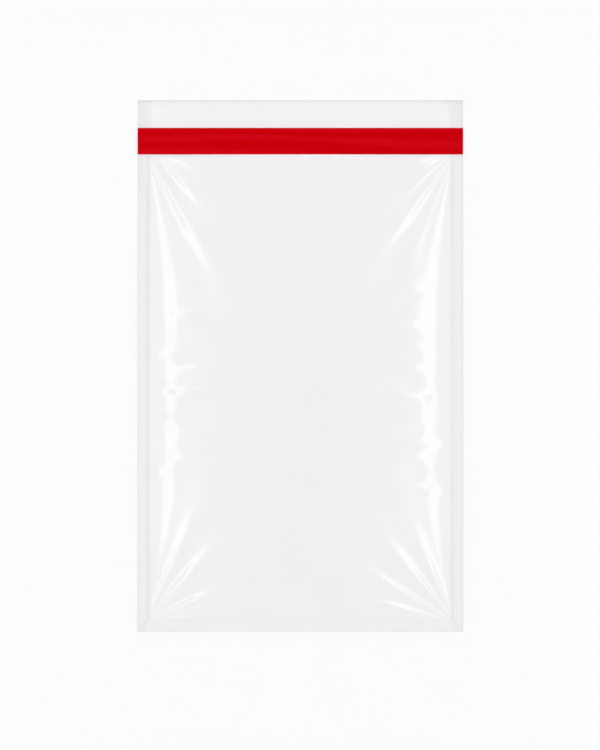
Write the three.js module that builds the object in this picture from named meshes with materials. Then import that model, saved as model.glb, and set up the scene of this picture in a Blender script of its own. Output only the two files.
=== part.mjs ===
// Self-seal clear film bag lying on its back, lightly puffed, in millimetres.
// X runs across the bag, Y towards the lip, Z up from the table.
// The origin is on the table, under the middle of the bag's outline.
import * as THREE from "three";

// Outline of the two films. The back film is longer by the lip.
const BAG_WIDTH = 160;
const BODY_LENGTH = 234;
const LIP_LENGTH = 27;
const WELD_WIDTH = 5;
const FILM_THICKNESS = 0.2;

// Puffed shape. The lip lies on the table, and the welds lift off it towards the bottom.
const ARCH_RISE = 9.5; // crown of the front film's arch above the welds
const MOUTH_GAPE = 8; // crown of the arch at the mouth
const WELD_LIFT = 3; // height of the welds above the lip
const BOTTOM_RUN = 70; // length over which the front climbs from the bottom weld
const MOUTH_RUN = 80; // length over which the front climbs from the mouth
const BACK_RUN = 40; // length over which the back comes down to the table
const LIFT_RUN = 70; // length over which the welds lift from the mouth

// Shoulder: a soft step up along each side, which runs into the corners like a cone.
const SHOULDER_STEP = 1.5;
const SHOULDER_PLACE = 11.8; // distance of its middle from the side weld
const SHOULDER_HALF = 3.8; // half width of its slope
const SHOULDER_RUN = 88; // length over which it leaves a corner

// Seal strip on the lip: clear glue under a red release liner.
const STRIP_TO_MOUTH = 0.4;
const LINER_WIDTH = 13;
const LINER_THICKNESS = 0.15;
const GLUE_INSET = 1.5;
const GLUE_THICKNESS = 0.1;

// Creases that fan out of each inner corner of the welds. Each starts inward of the
// corner, along the end of the bag or along its side. Its crest has a bearing in degrees
// up from the end of the bag. Then come the half widths of its two flanks in degrees, the
// inner one on the side of that end, its reach in millimetres and the slope of its steeper
// flank.
const CREASES = {
  bottomLeft: [
    { along: 0, up: 0, crest: 3.5, inner: 6, outer: 6, reach: 28, slope: 1.6 },
    { along: 0, up: 0, crest: 22, inner: 7.5, outer: 7.5, reach: 35, slope: 1.35 },
    { along: 0, up: 1, crest: 46, inner: 8, outer: 8, reach: 46, slope: 0.85 },
    { along: 0, up: 2, crest: 64, inner: 8, outer: 5.5, reach: 54, slope: 0.5 },
  ],
  bottomRight: [
    { along: 0, up: 0, crest: 13, inner: 8, outer: 6, reach: 52, slope: 1 },
    { along: 0, up: 0, crest: 29.5, inner: 5, outer: 5, reach: 54, slope: 1 },
    { along: 0, up: 1, crest: 47.5, inner: 8, outer: 8, reach: 53, slope: 0.7 },
    { along: 0, up: 2, crest: 64.5, inner: 8, outer: 6, reach: 45, slope: 0.55 },
  ],
  topLeft: [
    { along: 7.7, up: 0, crest: 34, inner: 12, outer: 14, reach: 18, slope: 0.42 },
    { along: 5, up: 0, crest: 45.5, inner: 14, outer: 9, reach: 47, slope: 0.5 },
    { along: 0, up: 0, crest: 58, inner: 12, outer: 5.5, reach: 70, slope: 0.48 },
  ],
  topRight: [
    { along: 5, up: 0, crest: 29, inner: 13, outer: 14, reach: 16, slope: 0.42 },
    { along: 1.5, up: 0, crest: 39.5, inner: 10, outer: 5, reach: 56, slope: 0.5 },
    { along: 0, up: 0, crest: 51.2, inner: 10, outer: 6, reach: 68, slope: 0.48 },
    { along: 0, up: 0, crest: 66.8, inner: 8, outer: 4, reach: 70, slope: 0.17 },
  ],
};
const STEEPEST = 0.858; // steepest slope of a bell curve of height and half width 1
const CREASE_CLEAR = 0.8; // distance from a weld over which a crease dies away
const MIDDLE_CLEAR = 40; // distance from the bag's middle over which a crease dies away
const SAME_POINT = 0.001; // points of a net closer than this are one point

const overall = BODY_LENGTH + LIP_LENGTH;
const halfWidth = BAG_WIDTH / 2;
const halfInside = halfWidth - WELD_WIDTH;
const bottomEdge = -overall / 2;
const bottomWeld = bottomEdge + WELD_WIDTH;
const mouth = bottomEdge + BODY_LENGTH;
const middle = (bottomWeld + mouth) / 2;
const halfLength = mouth - middle;

const clamp01 = (u) => Math.min(Math.max(u, 0), 1);

// Quarter of a sine wave from 0 to 1, level at its far end.
const arch = (u) => Math.sin((Math.PI / 2) * clamp01(u));

// Half a cosine wave from 0 to 1, level at both ends.
const settle = (u) => (1 - Math.cos(Math.PI * clamp01(u))) / 2;

// Height of the creases of one corner at a point given by its distance from the side
// weld and from the end of the bag. A crease is a bell curve across its crest whose height
// grows with the distance from its start and dies away beyond its reach, and towards the
// middle of the bag, so that the two halves meet there.
function creaseHeight(creases, fromSide, fromEnd) {
  const { degToRad, radToDeg } = THREE.MathUtils;
  const clear = (d) => (d * d) / (d * d + CREASE_CLEAR * CREASE_CLEAR);
  let sum = 0;
  for (const { along, up, crest, inner, outer, reach, slope } of creases) {
    const radius = Math.hypot(fromSide - along, fromEnd - up);
    const turn = radToDeg(Math.atan2(fromEnd - up, fromSide - along)) - crest;
    const ridge = Math.exp(-((turn / (turn < 0 ? inner : outer)) ** 2));
    const fade = Math.exp(-((radius / reach) ** 2));
    const climb = (slope * degToRad(Math.min(inner, outer))) / STEEPEST;
    sum += climb * radius * fade * ridge;
  }
  const inside = settle((halfInside - fromSide) / MIDDLE_CLEAR);
  return sum * inside * clear(fromSide) * clear(fromEnd);
}

// Height of the shoulder of one side, which is smaller in scale next to an end of the bag.
function shoulderHeight(fromSide, fromEnd) {
  const scale = arch(fromEnd / SHOULDER_RUN);
  if (scale === 0) return 0;
  const climb = Math.tanh((fromSide / scale - SHOULDER_PLACE) / SHOULDER_HALF);
  return (SHOULDER_STEP * scale * (1 + climb)) / 2;
}

// Height of the welds above the lip.
const weldLift = (y) => WELD_LIFT * settle((mouth - y) / LIFT_RUN);

// How far the front film stands above the welds at its sides.
function frontHeight(x, y) {
  const fromSide = halfInside - Math.abs(x);
  const fromBottom = y - bottomWeld;
  const fromMouth = mouth - y;
  if (fromSide <= 0 || fromBottom <= 0) return 0;
  const crown = MOUTH_GAPE + (ARCH_RISE - MOUTH_GAPE) * settle(fromMouth / MOUTH_RUN);
  const side = x < 0 ? "Left" : "Right";
  return (
    crown * arch(fromSide / halfInside) * arch(fromBottom / BOTTOM_RUN) +
    shoulderHeight(fromSide, Math.min(fromBottom, fromMouth)) +
    creaseHeight(CREASES["bottom" + side], fromSide, fromBottom) +
    creaseHeight(CREASES["top" + side], fromSide, fromMouth)
  );
}

// How far the back film hangs below the welds at its sides, down to the table.
function backDepth(x, y) {
  const fromSide = halfInside - Math.abs(x);
  return weldLift(y) * settle(fromSide / BACK_RUN) * settle((y - bottomWeld) / BACK_RUN);
}

// Bearings of the rays of a net, in degrees up from the end of the bag: those beside the
// end, those beside the side, given from it, and evenly spread ones between, with one
// along the diagonal of the quarter bag.
function rayBearings(besideEnd, besideSide, spread) {
  const diagonal = THREE.MathUtils.radToDeg(Math.atan2(halfLength, halfInside));
  const first = besideEnd.at(-1);
  const last = 90 - besideSide.at(-1);
  const count = Math.round((last - first) / spread);
  const even = Array.from({ length: count - 1 }, (_, i) => {
    return first + ((i + 1) * (last - first)) / count;
  });
  const clearOfDiagonal = even.filter((b) => Math.abs(b - diagonal) > spread / 2);
  const steep = besideSide.map((b) => 90 - b);
  return [...besideEnd, ...clearOfDiagonal, diagonal, ...steep].sort((a, b) => b - a);
}

// Flat net of points for one film. Rays run from each inner corner of the welds to the
// middle lines of the bag. Bands beyond the corners add the welded sides and, at each
// end, a reach of weld or lip.
function filmNet(bearings, bottomReach, topReach) {
  const STEPS = 14;
  const points = [];
  const triangles = [];
  const known = new Map();
  const pointAt = (x, y) => {
    const key = Math.round(x / SAME_POINT) + " " + Math.round(y / SAME_POINT);
    if (!known.has(key)) {
      known.set(key, points.length);
      points.push(new THREE.Vector2(x, y));
    }
    return known.get(key);
  };
  const addTriangle = (a, b, c) => {
    const ab = points[b].clone().sub(points[a]);
    const ac = points[c].clone().sub(points[a]);
    const turn = ab.cross(ac);
    if (turn > 0) triangles.push([a, b, c]);
    if (turn < 0) triangles.push([a, c, b]);
  };
  const addQuad = (a, b, c, d) => {
    addTriangle(a, b, c);
    addTriangle(a, c, d);
  };
  const tips = bearings.map((bearing) => {
    const angle = THREE.MathUtils.degToRad(bearing);
    const toSideLine = halfInside / Math.max(Math.cos(angle), 1e-9);
    const toEndLine = halfLength / Math.max(Math.sin(angle), 1e-9);
    const ray = Math.min(toSideLine, toEndLine);
    return [ray * Math.cos(angle), ray * Math.sin(angle)];
  });

  const addQuarter = (side, end, reach) => {
    const inward = Math.sign(middle - end);
    const at = (ray, step) => {
      const t = (step / STEPS) ** 1.3;
      return pointAt(side * (halfInside - t * tips[ray][0]), end + inward * t * tips[ray][1]);
    };
    const last = tips.length - 1;
    const beside = (step) => pointAt(side * halfWidth, points[at(0, step)].y);
    const beyond = (step) => pointAt(points[at(last, step)].x, end - inward * reach);
    for (let step = 0; step < STEPS; step++) {
      for (let ray = 0; ray < last; ray++) {
        addQuad(at(ray, step), at(ray, step + 1), at(ray + 1, step + 1), at(ray + 1, step));
      }
      addQuad(at(0, step), at(0, step + 1), beside(step + 1), beside(step));
      if (reach > 0) {
        addQuad(at(last, step), at(last, step + 1), beyond(step + 1), beyond(step));
      }
    }
    if (reach > 0) {
      const outer = pointAt(side * halfWidth, end - inward * reach);
      addQuad(at(0, 0), beside(0), outer, beyond(0));
    }
  };
  for (const side of [-1, 1]) {
    addQuarter(side, bottomWeld, bottomReach);
    addQuarter(side, mouth, topReach);
  }
  return { points, triangles };
}

// Closed film: the net raised to its lower height, a copy one film above it, and a
// wall along every edge that only one triangle uses.
function filmGeometry({ points, triangles }, lowerZ) {
  const count = points.length;
  const lower = points.map(({ x, y }) => [x, y, lowerZ(x, y)]);
  const upper = lower.map(([x, y, z]) => [x, y, z + FILM_THICKNESS]);
  const index = [];
  const used = new Set();
  for (const [a, b, c] of triangles) {
    index.push(a + count, b + count, c + count, a, c, b);
    used.add(a + " " + b).add(b + " " + c).add(c + " " + a);
  }
  for (const edge of used) {
    const [a, b] = edge.split(" ").map(Number);
    if (!used.has(b + " " + a)) {
      index.push(a, b, b + count, a, b + count, a + count);
    }
  }
  const geometry = new THREE.BufferGeometry();
  const flat = [...lower, ...upper].flat();
  geometry.setAttribute("position", new THREE.Float32BufferAttribute(flat, 3));
  geometry.setIndex(index);
  geometry.computeVertexNormals();
  return geometry;
}

// Flat strip across the lip, given its two long edges and its lower and upper faces.
function stripGeometry(width, fromY, toY, fromZ, toZ) {
  const strip = new THREE.BoxGeometry(width, toY - fromY, toZ - fromZ);
  return strip.translate(0, (fromY + toY) / 2, (fromZ + toZ) / 2);
}

const CLEAR_FILM = { color: 0xf2f4f5, roughness: 0.1, transparent: true, opacity: 0.3 };
const CLEAR_GLUE = { color: 0xf0ece0, roughness: 0.25, transparent: true, opacity: 0.5 };
const RED_LINER = { color: 0xc8030f, roughness: 0.45 };

const group = new THREE.Group();
group.name = "self_seal_film_bag";

function addPart(name, geometry, look) {
  const part = new THREE.Mesh(geometry, new THREE.MeshStandardMaterial(look));
  part.name = name;
  group.add(part);
}

const shoulderRays = [0, 0.6, 1.8, 3, 4.2, 5.4, 6.6, 8, 9.6, 11.4, 13.5];
addPart(
  "front_film",
  filmGeometry(
    filmNet(rayBearings([0, 0.6, 2, 4, 6.5], shoulderRays, 3.4), WELD_WIDTH, 0),
    (x, y) => FILM_THICKNESS + weldLift(y) + frontHeight(x, y),
  ),
  CLEAR_FILM,
);
addPart(
  "back_film",
  filmGeometry(
    filmNet(rayBearings([0, 3, 6], [0, 3, 6], 8), WELD_WIDTH, LIP_LENGTH),
    (x, y) => weldLift(y) - backDepth(x, y),
  ),
  CLEAR_FILM,
);

const linerFrom = mouth + STRIP_TO_MOUTH;
const linerTo = linerFrom + LINER_WIDTH;
const glueTop = FILM_THICKNESS + GLUE_THICKNESS;
addPart(
  "glue_strip",
  stripGeometry(
    2 * halfInside,
    linerFrom + GLUE_INSET,
    linerTo - GLUE_INSET,
    FILM_THICKNESS,
    glueTop,
  ),
  CLEAR_GLUE,
);
addPart(
  "release_liner",
  stripGeometry(BAG_WIDTH, linerFrom, linerTo, glueTop, glueTop + LINER_THICKNESS),
  RED_LINER,
);

export default group;
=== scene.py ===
# %% [markdown]
# # A self-seal clear film bag
#
# The object is a flat bag of clear film, about A5 in size. Two sheets are welded together along
# both sides and the bottom. The back sheet runs on past the mouth as a lip, and the lip carries a
# strip of glue under a red release liner. The bag lies on its back with a little air in it, so the
# front sheet is puffed and creased at its corners.
#
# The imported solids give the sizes. This lesson replaces the two rigid films with finer sheets, gives
# every piece its finish and sets up the table, the lamps and the camera.

import bpy
import numpy as np
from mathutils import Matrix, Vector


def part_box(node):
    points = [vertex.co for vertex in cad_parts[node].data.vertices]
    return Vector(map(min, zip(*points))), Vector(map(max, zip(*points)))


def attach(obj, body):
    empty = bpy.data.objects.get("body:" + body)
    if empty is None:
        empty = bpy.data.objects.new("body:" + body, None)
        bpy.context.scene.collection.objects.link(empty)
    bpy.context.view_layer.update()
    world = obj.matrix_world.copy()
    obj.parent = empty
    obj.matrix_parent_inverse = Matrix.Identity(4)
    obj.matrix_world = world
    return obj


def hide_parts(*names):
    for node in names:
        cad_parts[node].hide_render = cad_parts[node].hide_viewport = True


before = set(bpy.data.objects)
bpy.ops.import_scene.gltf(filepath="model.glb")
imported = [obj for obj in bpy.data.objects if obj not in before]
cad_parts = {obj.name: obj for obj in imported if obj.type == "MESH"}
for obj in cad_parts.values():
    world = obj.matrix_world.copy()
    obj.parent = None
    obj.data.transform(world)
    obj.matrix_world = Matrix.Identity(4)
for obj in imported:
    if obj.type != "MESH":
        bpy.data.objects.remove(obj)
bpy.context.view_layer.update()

MM = 0.001

# %% [markdown]
# ## Measures
#
# Every size comes from the solids, so the dressed bag always fits them. The glue runs from weld to
# weld, so its half width is also the half width of the pouch. All work is done in millimetres, and
# turned to metres only when a mesh is made.

# %% Read the main sizes from the solids
front_low, front_high = (np.array(corner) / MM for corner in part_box("front_film"))
back_high = np.array(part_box("back_film")[1]) / MM
glue_low, glue_high = (np.array(corner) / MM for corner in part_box("glue_strip"))
liner_high = np.array(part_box("release_liner")[1]) / MM

half_width = front_high[0]
half_inside = glue_high[0]
weld_width = half_width - half_inside
bottom_edge = front_low[1]
bottom_weld = bottom_edge + weld_width
mouth = front_high[1]
lip_edge = back_high[1]
strip_top = liner_high[1]
solid_film = glue_low[2]  # the glue lies on the lip, so its underside is one film above the table
full_lift = back_high[2] - solid_film
print(f"bag {2 * half_width:.0f} mm wide, pouch {2 * half_inside:.0f} mm wide, mouth at y = {mouth:.1f} mm")
print(f"the welds lift {full_lift:.1f} mm off the table")

# %% [markdown]
# ## The puffed form
#
# A sheet that is welded at its rim and filled with a little air arches between the welds. A cloth
# simulation would find such a form too, but its creases would fall where chance puts them. Here the
# form is a formula in two coordinates, so that each crease can lie where it does on the real bag.
# Two plain curves carry the sheets from their welds to their full height.

# %% Curves from 0 to 1
def arch(u):
    """Quarter of a sine wave: steep at the start and level at the end."""
    return np.sin(np.pi / 2 * np.clip(u, 0, 1))


def settle(u):
    """Half a cosine wave: level at the start and at the end."""
    return (1 - np.cos(np.pi * np.clip(u, 0, 1))) / 2


def bell(distance, half):
    """Bell curve: e to the power of minus the square of distance over half width."""
    return np.exp(-((distance / half) ** 2))


# %% [markdown]
# ## Shoulders along the sides
#
# Beside each side weld the film doesn't bend evenly: it climbs in a soft step, about 12 mm in from the
# weld. That step is what mirrors a long lamp as the bright band on each side of the bag. Towards a
# corner the step gets smaller in all its sizes, so it runs into the corner like a cone.

# %% Shoulder height
SHOULDER_STEP = 1.5  # height of the step in mm
SHOULDER_PLACE = 11.8  # distance of its middle from the weld in mm
SHOULDER_HALF = 3.8  # half width of its slope in mm
SHOULDER_RUN = 88.0  # length over which it leaves a corner in mm
SHOULDER_EASE = 1.15  # above 1, the step is flatter next to a corner
TINY = 1e-9  # keeps the scale above 0 in the corner itself


def shoulder_height(from_side, from_end):
    """Step times half of 1 plus the hyperbolic tangent of the distance from its middle, all to scale."""
    scale = np.maximum(arch(from_end / SHOULDER_RUN), TINY)
    climb = np.tanh((from_side / scale - SHOULDER_PLACE) / SHOULDER_HALF)
    return SHOULDER_STEP * scale**SHOULDER_EASE * (1 + climb) / 2


print(f"shoulder slope at mid length {SHOULDER_STEP / (2 * SHOULDER_HALF):.2f}")

# %% [markdown]
# ## Corner creases
#
# The film can't stretch, so where a side weld meets the bottom weld or the mouth, it gathers into creases
# that fan out of the corner. Each one is a cone-shaped ridge: its crest keeps its bearing, it grows wider
# and higher away from the corner, and it dies away beyond its reach and before the middle of the bag. A
# flank that leans towards a lamp mirrors it. Where the flank is too steep, the lamp shows only along its
# two borders, and the crease looks like a hairpin.

# %% Creases: start along the end and the side in mm, bearing of the crest and half widths of the inner
# and outer flanks in degrees, reach in mm, and slope of the steeper flank
CREASES = {
    ("bottom", -1): [
        (0, 0, 4.8, 3.4, 4.8, 26, 2.1),
        (0, 0, 22, 7.5, 7.5, 35, 1.35),
        (0, 1, 46, 8, 8, 46, 0.85),
        (0, 2, 64, 8, 5.5, 54, 0.5),
    ],
    ("bottom", 1): [
        (0, 0, 13, 8, 6, 52, 1.0),
        (0, 0, 29.5, 5, 5, 54, 1.0),
        (0, 1, 47.5, 8, 8, 53, 0.7),
        (0, 2, 64.5, 8, 6, 45, 0.55),
    ],
    ("top", -1): [
        (7.7, 0, 34, 12, 14, 18, 0.42),
        (5, 0, 45.5, 14, 9, 47, 0.5),
        (0, 0, 58, 12, 5.5, 70, 0.48),
    ],
    ("top", 1): [
        (5, 0, 29, 13, 14, 16, 0.42),
        (1.5, 0, 39.5, 10, 5, 56, 0.5),
        (0, 0, 51.2, 10, 6, 68, 0.48),
        (0, 0, 66.8, 8, 4, 70, 0.17),
    ],
}
STEEPEST = 0.858  # steepest slope of a bell curve of height and half width 1
CREASE_CLEAR = 0.8  # distance from a weld over which a crease dies away, in mm
MIDDLE_CLEAR = 40.0  # distance from the bag's middle over which it dies away, in mm


def crease_height(creases, from_side, from_end):
    """Sum of cones: slope times flank times radius, with bells along and across the crest.

    The sum is then faded towards the bag's middle and at the welds.
    """
    total = np.zeros_like(from_side)
    for along, up, crest, inner, outer, reach, slope in creases:
        radius = np.hypot(from_side - along, from_end - up)
        turn = np.degrees(np.arctan2(from_end - up, from_side - along)) - crest
        climb = slope * np.radians(min(inner, outer)) / STEEPEST
        total += climb * radius * bell(radius, reach) * bell(turn, np.where(turn < 0, inner, outer))
    total *= settle((half_inside - from_side) / MIDDLE_CLEAR)
    total *= from_side**2 / (from_side**2 + CREASE_CLEAR**2)
    return total * from_end**2 / (from_end**2 + CREASE_CLEAR**2)


print("creases per corner:", {f"{end} {side:+d}": len(found) for (end, side), found in CREASES.items()})

# %% [markdown]
# ## Puckers along the sides
#
# The side welds hold the film a little short, so it also puckers across the shoulder. Each pucker is
# a small ridge or dent: a bell curve along the bag times one across it. The ridges throw spurs out of
# the bright band, and the dents pinch it. The first of each side is long and soft, and widens the band
# towards the mouth.

# %% Puckers: place along the bag, height, half length along it, distance from the weld, half width, in mm
PUCKERS = {
    -1: [
        (46, 0.3, 16, 19.5, 6),
        (26.1, 0.85, 1.9, 21, 7), (12, -0.3, 3, 18, 8), (5, 0.6, 2.4, 10.5, 4), (2.3, -0.7, 2.4, 20, 9),
        (-2.1, 0.7, 1.8, 21, 6), (-8.3, -0.6, 2, 18, 8), (-12.9, 1.2, 1.6, 20, 9), (-17, -0.5, 2, 19, 8),
        (-25.2, -1.0, 3, 20, 9), (-32, 0.45, 3, 21, 8), (-39, -0.3, 2, 20, 8), (-43.8, 0.75, 1.8, 21, 7),
        (-47.5, -0.5, 2, 20, 8), (-52.2, 0.6, 2.4, 10.5, 4), (-57, -0.3, 2, 20, 8),
    ],
    1: [
        (35, 0.6, 30, 20.5, 6),
        (38.5, 0.6, 2, 21, 6), (34, -0.45, 2.4, 20, 8), (20.2, 0.8, 1.8, 23.5, 6), (14, -0.35, 2.4, 20, 8),
        (10, 0.4, 2.5, 20, 7), (4, -0.35, 2, 20, 8), (-1.1, 0.75, 1.7, 22, 7), (-8.5, -0.9, 2.8, 22, 8),
        (-15.6, 1.1, 1.6, 20, 9), (-19, 0.5, 1.5, 20, 8), (-26, 0.4, 2.2, 21, 7), (-31, -0.35, 2.2, 20, 8),
        (-36.5, 0.7, 1.8, 20, 9), (-38.5, 0.5, 2.2, 10, 4), (-43.8, 0.7, 2, 21, 6), (-51.2, -0.9, 2.8, 20, 8),
        (-59, 0.9, 1.8, 20, 8), (-62, 0.6, 2.2, 10, 4),
    ],
}
PUCKER_CLEAR = 2.0  # distance from a weld over which a pucker dies away, in mm


def pucker_height(puckers, from_side, y):
    """Sum of heights times a bell curve along the bag times a bell curve across it."""
    total = np.zeros_like(y)
    for place, height, half_long, centre, half_wide in puckers:
        total += height * bell(y - place, half_long) * bell(from_side - centre, half_wide)
    return total * from_side**2 / (from_side**2 + PUCKER_CLEAR**2)


print("puckers on the left and right:", len(PUCKERS[-1]), len(PUCKERS[1]))

# %% [markdown]
# ## Heights of the two sheets
#
# The lip lies on the table, and the welds lift off it towards the bottom of the bag. The front climbs
# from the side welds and from the bottom weld. Its mouth stands open by a few millimetres in the middle,
# because nothing holds it shut, and its cut edge curls down a little. The back settles on to the table.
# Past the strip the lip lifts a little between its pressed ends, and an old fold runs in from the left.

# %% Height of each sheet over the lip, in mm
ARCH_RISE = 9.5  # crown of the front's arch over the welds
MOUTH_GAPE = 8.0  # crown of the arch at the mouth
MOUTH_RUN = 80.0  # length over which the front climbs from the mouth
BOTTOM_RUN = 70.0  # length over which the front climbs from the bottom weld
BACK_RUN = 40.0  # length over which the back settles
LIFT_RUN = 70.0  # length over which the welds lift
CURL_DROP = 1.0  # drop of the mouth's cut edge
CURL_RUN = 2.6  # length over which it curls
LIP_BAND = 6.9  # width of the pressed band at each end of the lip
LIP_LIFT = 1.2  # rise of the lip between the bands
LIP_RISE = 6.6  # length over which the lip rises beside a pressed band
LIP_CLIMB = 4.0  # length over which it rises beside the strip
LIP_FALL = 8.0  # length over which it falls again to half
FOLD_RISE = 0.19  # height of the fold
FOLD_HALF = 0.5  # half width of the fold
FOLD_PLACE = 6.0  # distance of the fold from the edge of the lip
FOLD_START = -76.0  # where the fold starts across the lip
FOLD_LENGTH = 22.0  # length over which it fades
FOLD_ONSET = 0.125  # share of that length over which it rises


def weld_lift(y):
    """Half a cosine wave from nothing at the mouth to the full lift."""
    return full_lift * settle((mouth - y) / LIFT_RUN)


def front_height(x, y):
    """Weld lift, an arch across times one from the bottom less the curl, shoulders, creases and puckers."""
    from_side = np.clip(half_inside - np.abs(x), 0, None)
    from_bottom = np.clip(y - bottom_weld, 0, None)
    from_mouth = np.clip(mouth - y, 0, None)
    crown = MOUTH_GAPE + (ARCH_RISE - MOUTH_GAPE) * settle(from_mouth / MOUTH_RUN)
    curl = CURL_DROP * np.exp(-from_mouth / CURL_RUN)
    height = weld_lift(y) + (crown * arch(from_bottom / BOTTOM_RUN) - curl) * arch(from_side / half_inside)
    height += shoulder_height(from_side, np.minimum(from_bottom, from_mouth))
    for side in (-1, 1):
        here = x * side > 0
        height += here * crease_height(CREASES["bottom", side], from_side, from_bottom)
        height += here * crease_height(CREASES["top", side], from_side, from_mouth)
        height += here * pucker_height(PUCKERS[side], from_side, y)
    return height


def lip_height(x, y):
    """Rise beside the bands times a rise past the strip that falls to half, plus a bell across the fold."""
    from_band = half_width - np.abs(x) - LIP_BAND
    past_strip = y - strip_top
    lengthwise = settle(past_strip / LIP_CLIMB) * (1 - settle((past_strip - LIP_CLIMB) / LIP_FALL) / 2)
    along = (x - FOLD_START) / FOLD_LENGTH
    fold = bell(y - lip_edge + FOLD_PLACE, FOLD_HALF) * settle(along / FOLD_ONSET) * (1 - settle(along))
    return LIP_LIFT * arch(from_band / LIP_RISE) * lengthwise + FOLD_RISE * fold


def back_height(x, y):
    """Weld lift times 1 less the share that has settled from the sides and the bottom, plus the lip."""
    from_side = np.clip(half_inside - np.abs(x), 0, None)
    settled = settle(from_side / BACK_RUN) * settle((y - bottom_weld) / BACK_RUN)
    return weld_lift(y) * (1 - settled) + lip_height(x, y)


print(f"front height in the middle {float(front_height(np.zeros(1), np.zeros(1))[0]):.1f} mm over the lip")

# %% [markdown]
# ## Marks and painted shade in the film
#
# The sealing bar leaves a pressed line along the inner edge of each weld, and the hot knife a melted
# rim along the cut edges. Both look a little darker than clear film, and their dark lines also carry
# painted shade: the shade where the film rises steeply from a weld, round the melted rims and along
# the mitre creases at the bottom corners. The lip is slightly dull too, most of all at its pressed ends.
# How dark the film is made is worked out as a number from 0 to 1 for every point of a sheet and kept
# with the mesh, so that the material can read it.

# %% How dark the film is made: pressed film and painted shade
LINE_HALF = 0.8  # half width of the pressed line at the inner edge of a weld, darkened with painted shade, in mm
LINE_INSET = 0.4  # distance of its middle from that edge, in mm
EDGE_HALF = 1.1  # width of the melted rim along a cut edge, darkened with painted shade, in mm
END_SLANT = 0.3  # lean of the right pressed end, in mm per mm
END_INSET = 1.7  # how much narrower that end is beside the strip, in mm
END_EASE = 0.8  # width over which the mark of a pressed end sets in, in mm
MOUTH_EASE = 0.5  # length over which the mark of the lip sets in, in mm
MARKS = {  # how dark each mark is, where 1 is the darkest
    "weld": 0.03, "side line": 0.22, "bottom line": 0.06, "mitre": 0.2,
    "cut edge": 0.17, "lip edge": 0.65, "lip": 0.13, "lip end": 0.24,
}


def marks_and_painted_shade(x, y):
    """Pressed lines and painted shade along welds, cut edges and mitres, a lighter mark on the lip and its
    ends, added up.
    """
    from_side = half_width - np.abs(x)
    from_bottom = y - bottom_edge
    on_lip = np.clip((y - mouth) / MOUTH_EASE, 0, 1)
    in_corner = np.maximum(from_side, from_bottom) < weld_width
    # Painted shade: dark lines where the film rises from the welds, at the cut edges and along the mitres.
    line_place = weld_width + LINE_INSET
    side_line = bell(from_side - line_place, LINE_HALF) * (1 - on_lip) * (from_bottom > weld_width)
    bottom_line = bell(from_bottom - line_place, LINE_HALF) * (from_side > weld_width)
    cut_edge = bell(np.minimum(from_side, from_bottom), EDGE_HALF)
    top_edge = bell(lip_edge - y, EDGE_HALF)
    mitre = bell((from_side - from_bottom) / np.sqrt(2), LINE_HALF) * in_corner
    slant = np.where(x > 0, END_SLANT * (y - strip_top) - END_INSET, 0.0)
    lip_end = np.clip((LIP_BAND + slant - from_side) / END_EASE + 0.5, 0, 1)
    welded = (from_side < weld_width) * (1 - on_lip)
    pressed_and_shaded = MARKS["cut edge"] * cut_edge + MARKS["lip edge"] * top_edge + MARKS["mitre"] * mitre
    pressed_and_shaded += MARKS["weld"] * welded + MARKS["side line"] * side_line + MARKS["bottom line"] * bottom_line
    return np.clip(pressed_and_shaded + on_lip * (MARKS["lip"] + MARKS["lip end"] * lip_end), 0, 1)


corner_mark = float(marks_and_painted_shade(np.array([half_width]), np.array([bottom_edge]))[0])
print(f"mark at a bottom corner {corner_mark:.2f}")

# %% [markdown]
# ## Film as a closed shell
#
# Film has two faces and a cut edge. A Solidify modifier could add the second face, but here both
# faces are worked out from the same grid: each point moves half a film along the surface's normal,
# up for one face and down for the other, and a narrow band of faces closes the rim. The normals come
# from the form itself, not from the grid, so that thin creases keep crisp highlights.

# %% Turn a grid of points into a closed sheet
SLOPE_STEP = 0.03  # distance over which a slope is measured, in mm


def form_normals(height, x, y):
    """Upright less the slopes along x and y, each a rise over a short run in the sheet, made a unit long."""
    left, right = np.maximum(x - SLOPE_STEP, x.min()), np.minimum(x + SLOPE_STEP, x.max())
    below, above = np.maximum(y - SLOPE_STEP, y.min()), np.minimum(y + SLOPE_STEP, y.max())
    across_slope = (height(right, y) - height(left, y)) / (right - left)
    along_slope = (height(x, above) - height(x, below)) / (above - below)
    normal = np.stack([-across_slope, -along_slope, np.ones_like(x)], axis=-1)
    return normal / np.linalg.norm(normal, axis=-1, keepdims=True)


def shell_faces(nu, nv):
    """Quads of the upper face, the lower face turned over, and the band round the rim, as index rows."""
    upper = np.arange(nu * nv).reshape(nu, nv)
    a, b, c, d = upper[:-1, :-1], upper[1:, :-1], upper[1:, 1:], upper[:-1, 1:]
    top = np.stack([a, b, c, d], axis=-1).reshape(-1, 4)
    bottom = top[:, ::-1] + nu * nv
    rim = np.concatenate([upper[:, 0], upper[-1, 1:], upper[-2::-1, -1], upper[0, -2::-1]])
    here, following = rim[:-1], rim[1:]
    band = np.stack([here, here + nu * nv, following + nu * nv, following], axis=-1)
    return np.concatenate([top, bottom, band])


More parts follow.
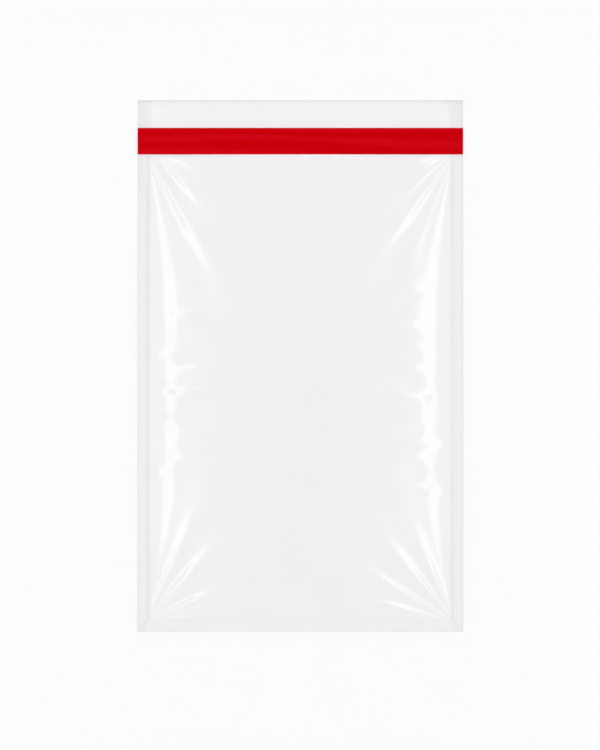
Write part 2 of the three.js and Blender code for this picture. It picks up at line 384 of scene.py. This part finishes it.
def add_sheet(name, xs, ys, height, rise, thickness):
    """Object at the origin: a closed shell round a form over a grid of places, with its marks and normals."""
    x, y = np.meshgrid(xs, ys, indexing="ij")
    nu, nv = x.shape
    normal = form_normals(height, x, y)
    middle = np.stack([x, y, solid_film + rise + height(x, y)], axis=-1)
    offset = normal * thickness / 2
    vertices = np.concatenate([(middle + offset).reshape(-1, 3), (middle - offset).reshape(-1, 3)]) * MM
    faces = shell_faces(nu, nv)
    mesh = bpy.data.meshes.new(name)
    mesh.vertices.add(len(vertices))
    mesh.vertices.foreach_set("co", vertices.ravel())
    mesh.loops.add(faces.size)
    mesh.loops.foreach_set("vertex_index", faces.ravel())
    mesh.polygons.add(len(faces))
    mesh.polygons.foreach_set("loop_start", np.arange(0, faces.size, 4))
    mesh.polygons.foreach_set("loop_total", np.full(len(faces), 4))
    mesh.update(calc_edges=True)
    mesh.shade_smooth()
    mesh.normals_split_custom_set_from_vertices(np.concatenate([normal, -normal]).reshape(-1, 3))
    # Each point keeps how dark the film is made there: pressed film and painted shade.
    attribute = mesh.attributes.new("seal_and_shade", "FLOAT", "POINT")
    attribute.data.foreach_set("value", np.tile(marks_and_painted_shade(x, y).ravel(), 2))
    sheet = bpy.data.objects.new(name, mesh)
    bpy.context.collection.objects.link(sheet)
    print(f"{name}: {2 * len(faces)} triangles, {thickness} mm thick")
    return sheet


# %% [markdown]
# ## The front and back sheets
#
# Each sheet is a function of place on a grid. The grid lines crowd together beside the welds, where
# the film is steep and the creases are thin, and spread out in the middle, where it is nearly level.

# %% Lay out the grids and make both sheets
REAL_FILM = 0.06  # thickness of the film in mm
FRONT_ACROSS, BACK_ACROSS = (100, 0.82), (150, 0.5)  # grid lines between the side welds, and crowding
FRONT_ALONG, BACK_ALONG = (400, 0.35, 0), (150, 0.3, 90)  # lines up to the mouth, crowding, lines on the lip
WELD_STEPS = np.array([0.06, 0.12, 0.25, 0.6, 0.8, 0.9, 0.95, 1.0])  # grid lines, as shares of a weld


def crowded(start, stop, count, crowding):
    """Places from start to stop that crowd towards both ends: an even step less a sine wave."""
    t = np.linspace(0, 1, count)
    return start + (stop - start) * (t - crowding * np.sin(2 * np.pi * t) / (2 * np.pi))


def across(count, crowding):
    """Places across the bag: a few over each weld, and crowded ones between the welds."""
    weld = half_inside + weld_width * WELD_STEPS
    return np.concatenate([-weld[::-1], crowded(-half_inside, half_inside, count, crowding), weld])


def lengthwise(count, crowding, lip_count):
    """Places along the bag: a few over the bottom weld, crowded ones to the mouth, then any on the lip."""
    weld = bottom_weld - weld_width * WELD_STEPS[::-1]
    lip = np.linspace(mouth, lip_edge, lip_count + 1)[1:]
    return np.concatenate([weld, crowded(bottom_weld, mouth, count, crowding), lip])


front_sheet = add_sheet(
    "front_sheet", across(*FRONT_ACROSS), lengthwise(*FRONT_ALONG), front_height, REAL_FILM, REAL_FILM)
back_sheet = add_sheet(
    "back_sheet", across(*BACK_ACROSS), lengthwise(*BACK_ALONG), back_height, -REAL_FILM, REAL_FILM)

# %% [markdown]
# ## Colours and nodes
#
# Colours are written as hex codes, as they look on a screen, and one function turns them to the linear
# values that Blender works with. One function adds a node with its settings and links.

# %% Helpers for materials
def srgb(code):
    """Linear red, green, blue and alpha of a hex colour, by the sRGB curve."""
    part = np.array([int(code[i : i + 2], 16) for i in (1, 3, 5)]) / 255
    linear = np.where(part <= 0.04045, part / 12.92, ((part + 0.055) / 1.055) ** 2.4)
    return (*map(float, linear), 1.0)


def add_node(tree, kind, settings=None, inputs=None):
    """One node: settings are its own properties, inputs are values or output sockets by name or number."""
    node = tree.nodes.new(kind)
    for key, value in (settings or {}).items():
        setattr(node, key, value)
    for key, value in (inputs or {}).items():
        if isinstance(value, bpy.types.NodeSocket):
            tree.links.new(value, node.inputs[key])
        else:
            node.inputs[key].default_value = value
    return node


def new_material(name):
    """Material with an empty tree and its output node."""
    material = bpy.data.materials.new(name)
    material.use_nodes = True
    material.node_tree.nodes.clear()
    return material, material.node_tree, add_node(material.node_tree, "ShaderNodeOutputMaterial")


# %% [markdown]
# ## Clear polypropylene film
#
# The sheets are cast polypropylene film. Glass shaders bend light, but film this thin lets it straight
# through, so the shader is a mix of a transparent part and a mirror part. Each face mirrors 4% of the
# light that falls straight on it and far more at a low angle, by Schlick's rule. Cast film is glossy
# with a slight haze, so part of the mirrored light is spread, more in some patches than in others.

# %% Film
FACE_SHINE = 0.04  # light that one face of the film mirrors when seen straight on
SCHLICK_POWER = 5.0  # how late that light grows as the view gets lower
HAZE_PATCH = 30.0  # size of the hazier patches in mm
PATCH_FROM, PATCH_TO = 0.35, 0.65  # values of the noise between which one patch turns to another
WARM_FROM, WARM_TO = 0.008, 0.012  # share of the warm tint in clear and in hazy patches
HAZE_FROM, HAZE_TO = 0.5, 0.6  # share of the mirrored light that is spread there
SHARP_ROUGHNESS, SPREAD_ROUGHNESS = 0.13, 0.33

# Glossy clear film: sharp highlights with a soft glow round them, a faint warm tint, darker pressed lines
# with painted shade.
film, tree, output = new_material("clear_polypropylene_film")
facing = add_node(tree, "ShaderNodeLayerWeight", inputs={"Blend": 0.5})
grazing = add_node(
    tree, "ShaderNodeMath", {"operation": "POWER"}, {0: facing.outputs["Facing"], 1: SCHLICK_POWER})
shine = add_node(
    tree, "ShaderNodeMath", {"operation": "MULTIPLY_ADD"},
    {0: grazing.outputs[0], 1: 1 - FACE_SHINE, 2: FACE_SHINE},
)
place = add_node(tree, "ShaderNodeTexCoord")
patches = add_node(
    tree, "ShaderNodeTexNoise",
    inputs={"Vector": place.outputs["Object"], "Scale": 1 / (HAZE_PATCH * MM), "Detail": 2.0},
)
warm = add_node(tree, "ShaderNodeMapRange", inputs={
    "Value": patches.outputs["Fac"], "From Min": PATCH_FROM, "From Max": PATCH_TO,
    "To Min": WARM_FROM, "To Max": WARM_TO})
tint = add_node(
    tree, "ShaderNodeMix", {"data_type": "RGBA"},
    {"Factor": warm.outputs["Result"], "A": srgb("#FFFFFF"), "B": srgb("#FFE8E8")},
)
# The attribute read here darkens the see-through tint: pressed film, the lip's duller tone and painted shade
# along the welds, cut edges and mitres.
seal_and_shade = add_node(tree, "ShaderNodeAttribute", {"attribute_name": "seal_and_shade"})
pressed_and_shade_tint = add_node(
    tree, "ShaderNodeMix", {"data_type": "RGBA"},
    {"Factor": seal_and_shade.outputs["Fac"], "A": tint.outputs["Result"], "B": srgb("#F8F7F8")},
)
clear = add_node(tree, "ShaderNodeBsdfTransparent", inputs={"Color": pressed_and_shade_tint.outputs["Result"]})
haze = add_node(tree, "ShaderNodeMapRange", inputs={
    "Value": patches.outputs["Fac"], "From Min": PATCH_FROM, "From Max": PATCH_TO,
    "To Min": HAZE_FROM, "To Max": HAZE_TO})
sharp, spread = (
    add_node(tree, "ShaderNodeBsdfGlossy", inputs={"Color": srgb("#FFFFFF"), "Roughness": roughness})
    for roughness in (SHARP_ROUGHNESS, SPREAD_ROUGHNESS)
)
gloss = add_node(tree, "ShaderNodeMixShader", inputs={
    0: haze.outputs["Result"], 1: sharp.outputs[0], 2: spread.outputs[0]})
surface = add_node(tree, "ShaderNodeMixShader", inputs={
    0: shine.outputs[0], 1: clear.outputs[0], 2: gloss.outputs[0]})
tree.links.new(surface.outputs[0], output.inputs["Surface"])
for sheet in (front_sheet, back_sheet):
    sheet.data.materials.append(film)
print("film:", film.name)

# %% [markdown]
# ## Red liner and clear glue
#
# The liner is a strip of red polyester film with a satin, silicone-coated face. Its dye lies in a few
# long streaks along the strip. A stretched noise would scatter them, so a wave runs across the strip
# instead, and a noise bends it. The glue under it is a coat of clear acrylic that shows from below.

# %% Liner
STREAK_LENGTH = 60.0  # length of a bend in a streak in mm
STREAK_SPACING = 6.2  # distance between streaks in mm
STREAK_SHIFT = 1.5  # how far they are moved towards the mouth in mm
STREAK_BEND = 5.0  # how far the noise bends a streak
BEND_DETAIL, BEND_SCALE = 1.0, 1.5  # finer turns of that noise
STREAK_FROM, STREAK_TO = 0.3, 0.7  # values of the wave between which the dye changes
LINER_ROUGHNESS, LINER_SHINE = 0.45, 0.004
WAVE_PERIOD = np.pi / 10  # length of one wave of the wave texture at scale 1

# Satin dyed film: an even deep red with almost no mirror light.
liner_film, tree, output = new_material("red_polyester_liner")
place = add_node(tree, "ShaderNodeTexCoord")
stretched = add_node(tree, "ShaderNodeMapping", inputs={
    "Vector": place.outputs["Object"], "Scale": (1 / (STREAK_LENGTH * MM), 1 / (STREAK_SPACING * MM), 1.0)})
streaks = add_node(tree, "ShaderNodeTexWave", {"bands_direction": "Y"}, {
    "Vector": stretched.outputs[0], "Scale": WAVE_PERIOD,
    "Distortion": STREAK_BEND, "Detail": BEND_DETAIL, "Detail Scale": BEND_SCALE,
    "Phase Offset": 2 * np.pi * STREAK_SHIFT / STREAK_SPACING})
streak = add_node(tree, "ShaderNodeMapRange", inputs={
    "Value": streaks.outputs["Fac"], "From Min": STREAK_FROM, "From Max": STREAK_TO})
dye = add_node(
    tree, "ShaderNodeMix", {"data_type": "RGBA"},
    {"Factor": streak.outputs["Result"], "A": srgb("#CA0514"), "B": srgb("#C4000A")},
)
shader = add_node(tree, "ShaderNodeBsdfPrincipled", inputs={
    "Base Color": dye.outputs["Result"], "Roughness": LINER_ROUGHNESS, "Specular IOR Level": LINER_SHINE})
tree.links.new(shader.outputs[0], output.inputs["Surface"])
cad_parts["release_liner"].data.materials.clear()
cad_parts["release_liner"].data.materials.append(liner_film)
print("liner:", liner_film.name)

# %% Glue
COAT_PATCH = 3.0  # size of the thicker and thinner patches of the coat in mm
COAT_FROM, COAT_TO = 0.3, 0.7  # values of the noise between which one patch turns to another
COAT_SMOOTH, COAT_ROUGH = 0.2, 0.45  # roughness of the two
COAT_COVER = 0.4  # share of the light that the coat holds back

# Tacky clear coat: slightly yellow and uneven.
glue, tree, output = new_material("clear_acrylic_glue")
place = add_node(tree, "ShaderNodeTexCoord")
patches = add_node(
    tree, "ShaderNodeTexNoise",
    inputs={"Vector": place.outputs["Object"], "Scale": 1 / (COAT_PATCH * MM), "Detail": 2.0},
)
thick = add_node(tree, "ShaderNodeMapRange", inputs={
    "Value": patches.outputs["Fac"], "From Min": COAT_FROM, "From Max": COAT_TO,
    "To Min": COAT_SMOOTH, "To Max": COAT_ROUGH})
shader = add_node(tree, "ShaderNodeBsdfPrincipled", inputs={
    "Base Color": srgb("#F4F0E4"), "Roughness": thick.outputs["Result"], "Alpha": COAT_COVER})
tree.links.new(shader.outputs[0], output.inputs["Surface"])
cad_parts["glue_strip"].data.materials.clear()
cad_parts["glue_strip"].data.materials.append(glue)
print("glue:", glue.name)

# %% [markdown]
# ## Fasten the sheets to the frame
#
# The sheets take the place of the rigid films and move with the bag's one body. The front is as long as
# the pouch, and the back longer by the lip.

# %% Replace the rigid films
for sheet, node in ((front_sheet, "front_film"), (back_sheet, "back_film")):
    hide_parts(node)
    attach(sheet, "root")
print("sheets fastened:", front_sheet.name, back_sheet.name)

# %% [markdown]
# ## Table
#
# The photograph's ground is plain white, so the table is one large pale square under the bag. Its white
# comes from its own colour, not from more light.

# %% Table
TABLE_HALF = 6.0  # metres
corners = [(-1, -1), (1, -1), (1, 1), (-1, 1)]
table_mesh = bpy.data.meshes.new("table_top")
table_mesh.from_pydata([(TABLE_HALF * x, TABLE_HALF * y, 0) for x, y in corners], [], [(0, 1, 2, 3)])
table = bpy.data.objects.new("table_top", table_mesh)
bpy.context.collection.objects.link(table)

# Matt white laminate: an even, pale face.
laminate, tree, output = new_material("white_laminate")
shader = add_node(tree, "ShaderNodeBsdfDiffuse", inputs={"Color": srgb("#F9F9FA")})
tree.links.new(shader.outputs[0], output.inputs["Surface"])
table_mesh.materials.append(laminate)
print("table:", 2 * TABLE_HALF, "m square")

# %% [markdown]
# ## Light
#
# Clear film shows only what it mirrors. A dim ceiling keeps the middle of the bag darker than the table,
# as clear film looks on white. Two long softboxes, one on each side, draw the bright bands and creases,
# and a shorter one beyond the lip draws the creases that lean that way. Behind each side softbox stands
# a dim wall, which the film mirrors as a glow round the bands. The walls and the lip's softbox don't
# light matt things, so that the table stays even. A last lamp lights the table from above, and the film
# doesn't mirror it.

# %% Room
HORIZON_LEVEL, CEILING_LEVEL = 1.0, 0.54  # radiance of the room, where 1 is white
HORIZON_TOP, CEILING_START = 0.08, 0.3  # upward parts of the view direction between which it dims
FILM_PASSES = 24  # faces of film that light may pass through

scene = bpy.context.scene
scene.view_settings.view_transform = "Standard"
scene.cycles.transparent_max_bounces = FILM_PASSES

world = bpy.data.worlds.new("studio")
scene.world = world
world.use_nodes = True
tree = world.node_tree
direction = add_node(tree, "ShaderNodeTexCoord")
upward = add_node(tree, "ShaderNodeSeparateXYZ", inputs={0: direction.outputs["Generated"]})
level = add_node(
    tree, "ShaderNodeMapRange", {"interpolation_type": "SMOOTHSTEP"},
    {"Value": upward.outputs["Z"], "From Min": HORIZON_TOP, "From Max": CEILING_START,
     "To Min": HORIZON_LEVEL, "To Max": CEILING_LEVEL},
)
background = tree.nodes["Background"]
background.inputs["Color"].default_value = (1, 1, 1, 1)
tree.links.new(level.outputs[0], background.inputs["Strength"])
print("room: bright horizon, dim ceiling")


# %% Lamps
def add_softbox(name, width, length, distance, bearing, tilt, radiance):
    """Rectangular lamp that faces the origin from a distance, tilted down from overhead to a bearing."""
    turn, lean = np.radians(bearing), np.radians(tilt)
    lamp = bpy.data.lights.new(name, "AREA")
    lamp.shape = "RECTANGLE"
    lamp.size = width
    lamp.size_y = length
    lamp.energy = radiance * np.pi * width * length
    box = bpy.data.objects.new(name, lamp)
    outward = distance * np.sin(lean)
    box.location = (outward * np.cos(turn), outward * np.sin(turn), distance * np.cos(lean))
    box.rotation_euler = (0, lean, turn)
    bpy.context.collection.objects.link(box)
    print(f"{name}: {width} by {length} m, {lamp.energy:.2f} W")
    return box


SOFTBOX = 1.85  # radiance of the softboxes, where 1 is white
WALL = 0.31  # radiance of the wall behind a side softbox
FILL = 1.27  # radiance of the lamp over the table
BOX_WIDTH, BOX_DISTANCE = 0.27, 1.2  # metres
WALL_WIDTH, WALL_DISTANCE = 1.04, 1.25  # metres
SIDE_LENGTH, LIP_LENGTH = 3.4, 1.4  # lengths of the lamps at the sides and beyond the lip, in metres
FILL_SIZE, FILL_HEIGHT = 2.0, 2.5  # metres
TILT = 45  # degrees from overhead

lip_softbox = add_softbox("lip_softbox", BOX_WIDTH, LIP_LENGTH, BOX_DISTANCE, 90, TILT, SOFTBOX)
mirrored_only = [lip_softbox]
for name, bearing in (("right", 0), ("left", 180)):
    add_softbox(f"{name}_softbox", BOX_WIDTH, SIDE_LENGTH, BOX_DISTANCE, bearing, TILT, SOFTBOX)
    wall = add_softbox(f"{name}_wall", WALL_WIDTH, SIDE_LENGTH, WALL_DISTANCE, bearing, TILT, WALL)
    mirrored_only.append(wall)
for box in mirrored_only:
    box.visible_diffuse = False
ceiling = add_softbox("ceiling_fill", FILL_SIZE, FILL_SIZE, FILL_HEIGHT, 0, 0, FILL)
ceiling.visible_glossy = False

# %% [markdown]
# ## Camera
#
# The photograph looks straight down on the bag. A long lens keeps the sides nearly free of perspective.
# Its distance follows from the width of the bag in the frame.

# %% Camera
LENS, SENSOR = 150.0, 36.0  # focal length and height of the sensor, in mm
FRAME_HEIGHT = 750  # pixels
BAG_PIXELS = 326.0  # width of the bag in the photograph
FRAME_SHIFT = (-0.35, -9.3)  # middle of the frame, in pixels from the middle of the bag

pixel = 2 * half_width / BAG_PIXELS
distance = FRAME_HEIGHT * pixel * LENS / SENSOR
camera = bpy.data.cameras.new("camera")
camera.lens = LENS
camera.sensor_width = SENSOR
eye = bpy.data.objects.new("camera", camera)
eye.location = (FRAME_SHIFT[0] * pixel * MM, FRAME_SHIFT[1] * pixel * MM, (full_lift + distance) * MM)
bpy.context.collection.objects.link(eye)
scene.camera = eye
print(f"camera {distance * MM:.2f} m above the welds")
